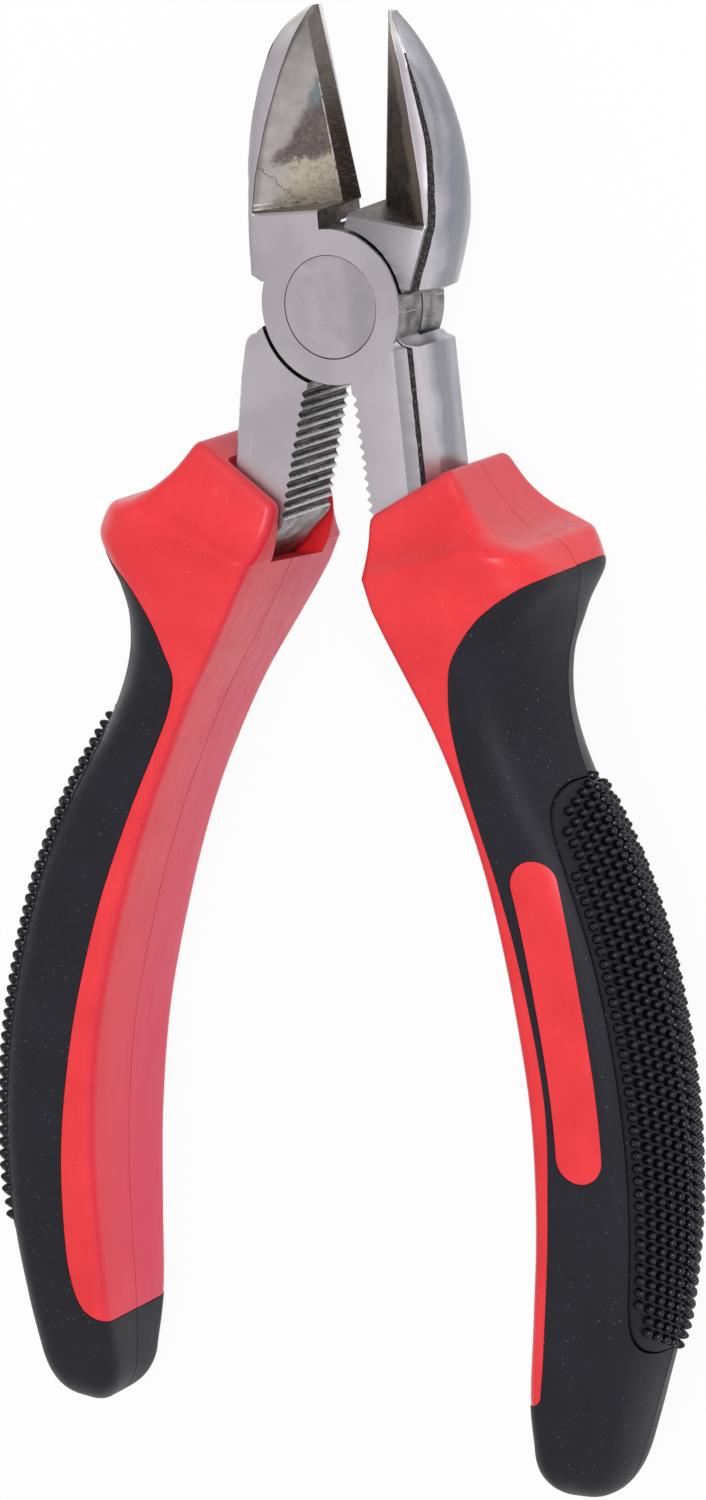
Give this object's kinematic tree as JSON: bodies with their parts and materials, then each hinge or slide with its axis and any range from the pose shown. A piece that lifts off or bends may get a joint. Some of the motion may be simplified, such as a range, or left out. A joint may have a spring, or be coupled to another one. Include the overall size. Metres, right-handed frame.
{
  "type": "diagonal cutter",
  "caption": "Diagonal cutting pliers with bevelled steel jaws, a riveted lap joint, serrated shanks and bowed two-colour moulded grips.",
  "frame": {"origin": "middle of the tool's box at its lowest level, with the tool lying on its back and part open", "axes": "+Y towards the jaws along the tool, +Z out of the front of the joint along the pivot, +X to the right seen from the front"},
  "size_m": [0.0922, 0.1764, 0.0244],
  "materials": {
    "steel": "satin ground faces, polished flanks, darker forged strips",
    "red_core": "satin moulded",
    "black_skin": "soft matte moulded",
    "black_pad": "soft gloss with rows of studs"
  },
  "bodies": {
    "front_half": {"front_jaw_lever": "steel", "pivot_rivet": "steel", "grip_core_right": "red_core", "grip_overmold_right": "black_skin", "grip_pad_right": "black_pad"},
    "rear_half": {"rear_jaw_lever": "steel", "grip_core_left": "red_core", "grip_overmold_left": "black_skin", "grip_pad_left": "black_pad"}
  },
  "joints": [
    {"name": "pivot", "type": "hinge", "parent": "front_half", "child": "rear_half", "pos_m": [0, 0.0535, 0.01222], "axis": [0, 0, -1], "range_deg": [-15, 29]}
  ]
}
